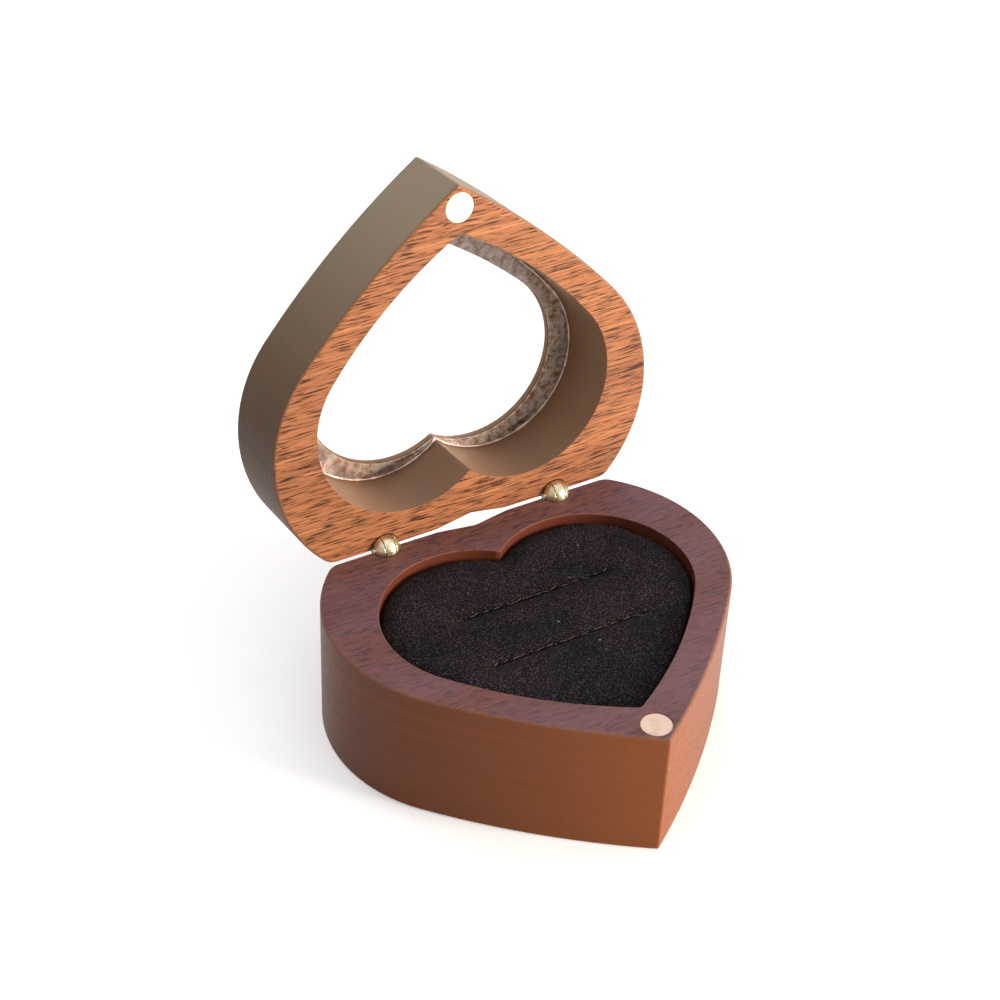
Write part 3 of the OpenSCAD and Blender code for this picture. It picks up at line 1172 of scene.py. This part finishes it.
@dataclass
class Fluff:
    """Loose flock: cut fibres along the slits, and a few specks of lint on pad and wood."""

    seed: int = 7
    fibre_radius: float = 0.03 * MM
    specks: int = 45
    rim_specks: int = 16
    fibre_gap: float = 0.55

    def fibre(self, bm: BMesh, start: Vector, heading: float, length: float,
              dice: random.Random) -> None:
        """Add one bent fibre that tapers to both ends.

        Args:
            bm: The mesh that gets the fibre.
            start: Where the fibre begins.
            heading: Its direction seen from above, in radians.
            length: Its length.
            dice: The source of chance.
        """
        here, path = start.copy(), [start.copy()]
        pieces = 4
        for _ in range(pieces):
            heading += dice.uniform(-0.25, 0.25)
            here = here + Vector((math.cos(heading), math.sin(heading), 0.0)) * length / pieces
            path.append(here + Vector((0.0, 0.0, dice.uniform(0.0, 0.05) * MM)))
        radii = [self.fibre_radius * r for r in (0.4, 0.9, 1.0, 0.9, 0.4)]
        sweep(bm, path, radii, 4)

    def scatter(self, bm: BMesh, outline: Sequence[Vector], level: float, count: int,
                lengths: tuple[float, float], wanted: Callable[[Vector], bool],
                dice: random.Random) -> None:
        """Scatter specks of lint over the box round the pad's outline.

        Args:
            bm: The mesh that gets the specks.
            outline: The pad's outline.
            level: The height at which the specks lie.
            count: How many specks there are.
            lengths: The shortest and the longest speck, in millimetres.
            wanted: Says whether a speck may lie at a point.
            dice: The source of chance.
        """
        low = Vector((min(p.x for p in outline), min(p.y for p in outline)))
        far = Vector((max(p.x for p in outline), max(p.y for p in outline)))
        placed = 0
        while placed < count:
            spot = Vector((dice.uniform(low.x, far.x), dice.uniform(low.y, far.y), level))
            if wanted(spot):
                self.fibre(
                    bm, spot, dice.uniform(0.0, 6.3), dice.uniform(*lengths) * MM, dice)
                placed += 1

    def add(self) -> Object:
        """Build the fibres and specks, dress them and tie them to the base.

        Returns:
            The loose flock, in place.
        """
        dice = random.Random(self.seed)
        sheet = cad_bmesh("velvet_face")
        outline, *slits = face_loops(sheet, 1.0)
        sheet.free()
        _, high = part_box("velvet_face")
        bm = bmesh.new()
        for loop in (s for s in slits if len(s) > 3):
            low_x, high_x = min(p.x for p in loop), max(p.x for p in loop)
            y = sum(p.y for p in loop) / len(loop)
            x = low_x
            while x < high_x - 1.0 * MM:
                length = dice.uniform(0.6, 2.2) * MM
                start = Vector((x, y + dice.uniform(-0.05, 0.05) * MM, high.z + 0.02 * MM))
                self.fibre(bm, start, dice.uniform(-0.06, 0.06), length, dice)
                x += length + max(0.0, dice.gauss(self.fibre_gap, 0.5)) * MM
        _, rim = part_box("base_block")
        self.scatter(
            bm, outline, high.z + 0.03 * MM, self.specks, (0.08, 0.3),
            lambda p: inside_loop(p, outline) and reach_to(p, outline) > 1.5 * MM, dice)
        self.scatter(
            bm, outline, rim.z + 0.02 * MM, self.rim_specks, (0.1, 0.25),
            lambda p: not inside_loop(p, outline) and 0.8 * MM < reach_to(p, outline) < 5.0 * MM,
            dice)
        piece = object_from(bm, "loose_flock", 80.0)
        LINT.dress(piece)
        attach(piece, "base")
        log.info("%s rides on base", piece.name)
        return piece


# ---------------------------------------------------------------------------- stage

@dataclass(frozen=True)
class Viewpoint:
    """The camera's place about the box."""

    azimuth: float = -31.65
    elevation: float = 37.09
    roll: float = 2.62
    distance: float = 0.3024
    aim: tuple[float, float, float] = (-0.01322, -0.0005, 0.05192)
    lens_mm: float = 75.63

    def add(self) -> Object:
        """Create the camera and make it the scene's own.

        Returns:
            The camera.
        """
        a, e, r = (math.radians(v) for v in (self.azimuth, self.elevation, self.roll))
        back = Vector((math.sin(a) * math.cos(e), -math.cos(a) * math.cos(e), math.sin(e)))
        right = Vector((math.cos(a), math.sin(a), 0.0))
        up = back.cross(right)
        rolled_right = right * math.cos(r) + up * math.sin(r)
        rolled_up = up * math.cos(r) - right * math.sin(r)
        turn = Matrix((rolled_right, rolled_up, back)).transposed().to_4x4()
        data = bpy.data.cameras.new("camera")
        data.lens = self.lens_mm
        data.sensor_width = RENDER_SPAN
        data.clip_start = 0.01
        data.clip_end = 20.0
        camera = bpy.data.objects.new("camera", data)
        camera.matrix_world = Matrix.Translation(Vector(self.aim) + back * self.distance) @ turn
        bpy.context.scene.collection.objects.link(camera)
        bpy.context.scene.camera = camera
        return camera


@dataclass(frozen=True)
class SoftBox:
    """A square studio light that looks at a point."""

    name: str
    place: tuple[float, float, float]
    aim: tuple[float, float, float]
    size: float
    watts: float
    colour: str

    def add(self) -> Object:
        """Create the light.

        Returns:
            The light.
        """
        data = bpy.data.lights.new(self.name, "AREA")
        data.shape = "SQUARE"
        data.size = self.size
        data.energy = self.watts
        data.color = linear(self.colour)[:3]
        lamp = bpy.data.objects.new(self.name, data)
        lamp.location = self.place
        look = Vector(self.aim) - Vector(self.place)
        lamp.rotation_euler = look.to_track_quat("-Z", "Y").to_euler()
        bpy.context.scene.collection.objects.link(lamp)
        return lamp


@dataclass
class Studio:
    """A plain pale floor under soft light."""

    floor_size: float = 6.0
    sky: str = "#f6f7fc"
    horizon_strength: float = 0.38
    zenith_strength: float = 1.15
    lights: tuple[SoftBox, ...] = (
        SoftBox("key", (0.66, -0.68, 0.17), (0.0, 0.0, 0.04), 0.3, 20.5, "#fff2e4"),
        SoftBox("back", (0.1, 1.7, 0.95), (0.0, 0.0, 0.0), 1.6, 17.0, "#f6f4ff"),
    )

    def add(self) -> None:
        """Create the floor, the world's light and the lamps."""
        bm = bmesh.new()
        bmesh.ops.create_grid(bm, x_segments=8, y_segments=8, size=self.floor_size / 2)
        floor = object_from(bm, "floor")
        FLOOR.dress(floor)
        world = bpy.data.worlds.new("studio")
        world.use_nodes = True
        world.node_tree.nodes.clear()
        height = add(world.node_tree, "ShaderNodeSeparateXYZ", {
            "Vector": add(world.node_tree, "ShaderNodeTexCoord").outputs["Generated"]})
        strength = mapped(
            world.node_tree, height.outputs["Z"], (0.0, 1.0),
            (self.horizon_strength, self.zenith_strength))
        sky = add(world.node_tree, "ShaderNodeBackground", {
            "Color": linear(self.sky), "Strength": strength})
        add(world.node_tree, "ShaderNodeOutputWorld", {"Surface": sky.outputs[0]})
        bpy.context.scene.world = world
        for light in self.lights:
            light.add()


# ---------------------------------------------------------------------------- the whole box

def main() -> None:
    """Build the stage and every piece of the ring box."""
    logging.basicConfig(level=logging.INFO, format="%(name)s: %(message)s")
    bpy.context.scene.view_settings.view_transform = "Standard"
    Viewpoint().add()
    Studio().add()
    WoodBlock("base_block", "base", BASE_WALNUT, "walnut", 0.5 * MM, segments=4).add()
    WoodBlock("lid_frame", "lid", LID_WALNUT, "walnut", 0.5 * MM, segments=4, in_lid=True).add()
    HardPiece("window_pane", "lid", ACRYLIC, "clear_pane", 0.15 * MM, in_lid=True).add()
    HardPiece("window_glue", "lid", GLUE, "glue", 0.05 * MM, in_lid=True).add()
    HardPiece("base_magnet", "base", NICKEL, "nickel", 0.2 * MM, segments=3).add()
    HardPiece("lid_magnet", "lid", NICKEL, "nickel", 0.2 * MM, segments=3, in_lid=True).add()
    GlueBead().add()
    RingPad().add()
    Fluff().add()
    HardPiece("foam_filler", "base", VELVET, "foam", 0.1 * MM).add()
    for side in Side:
        BarrelHinge(side).add()


if __name__ == "__main__":
    main()
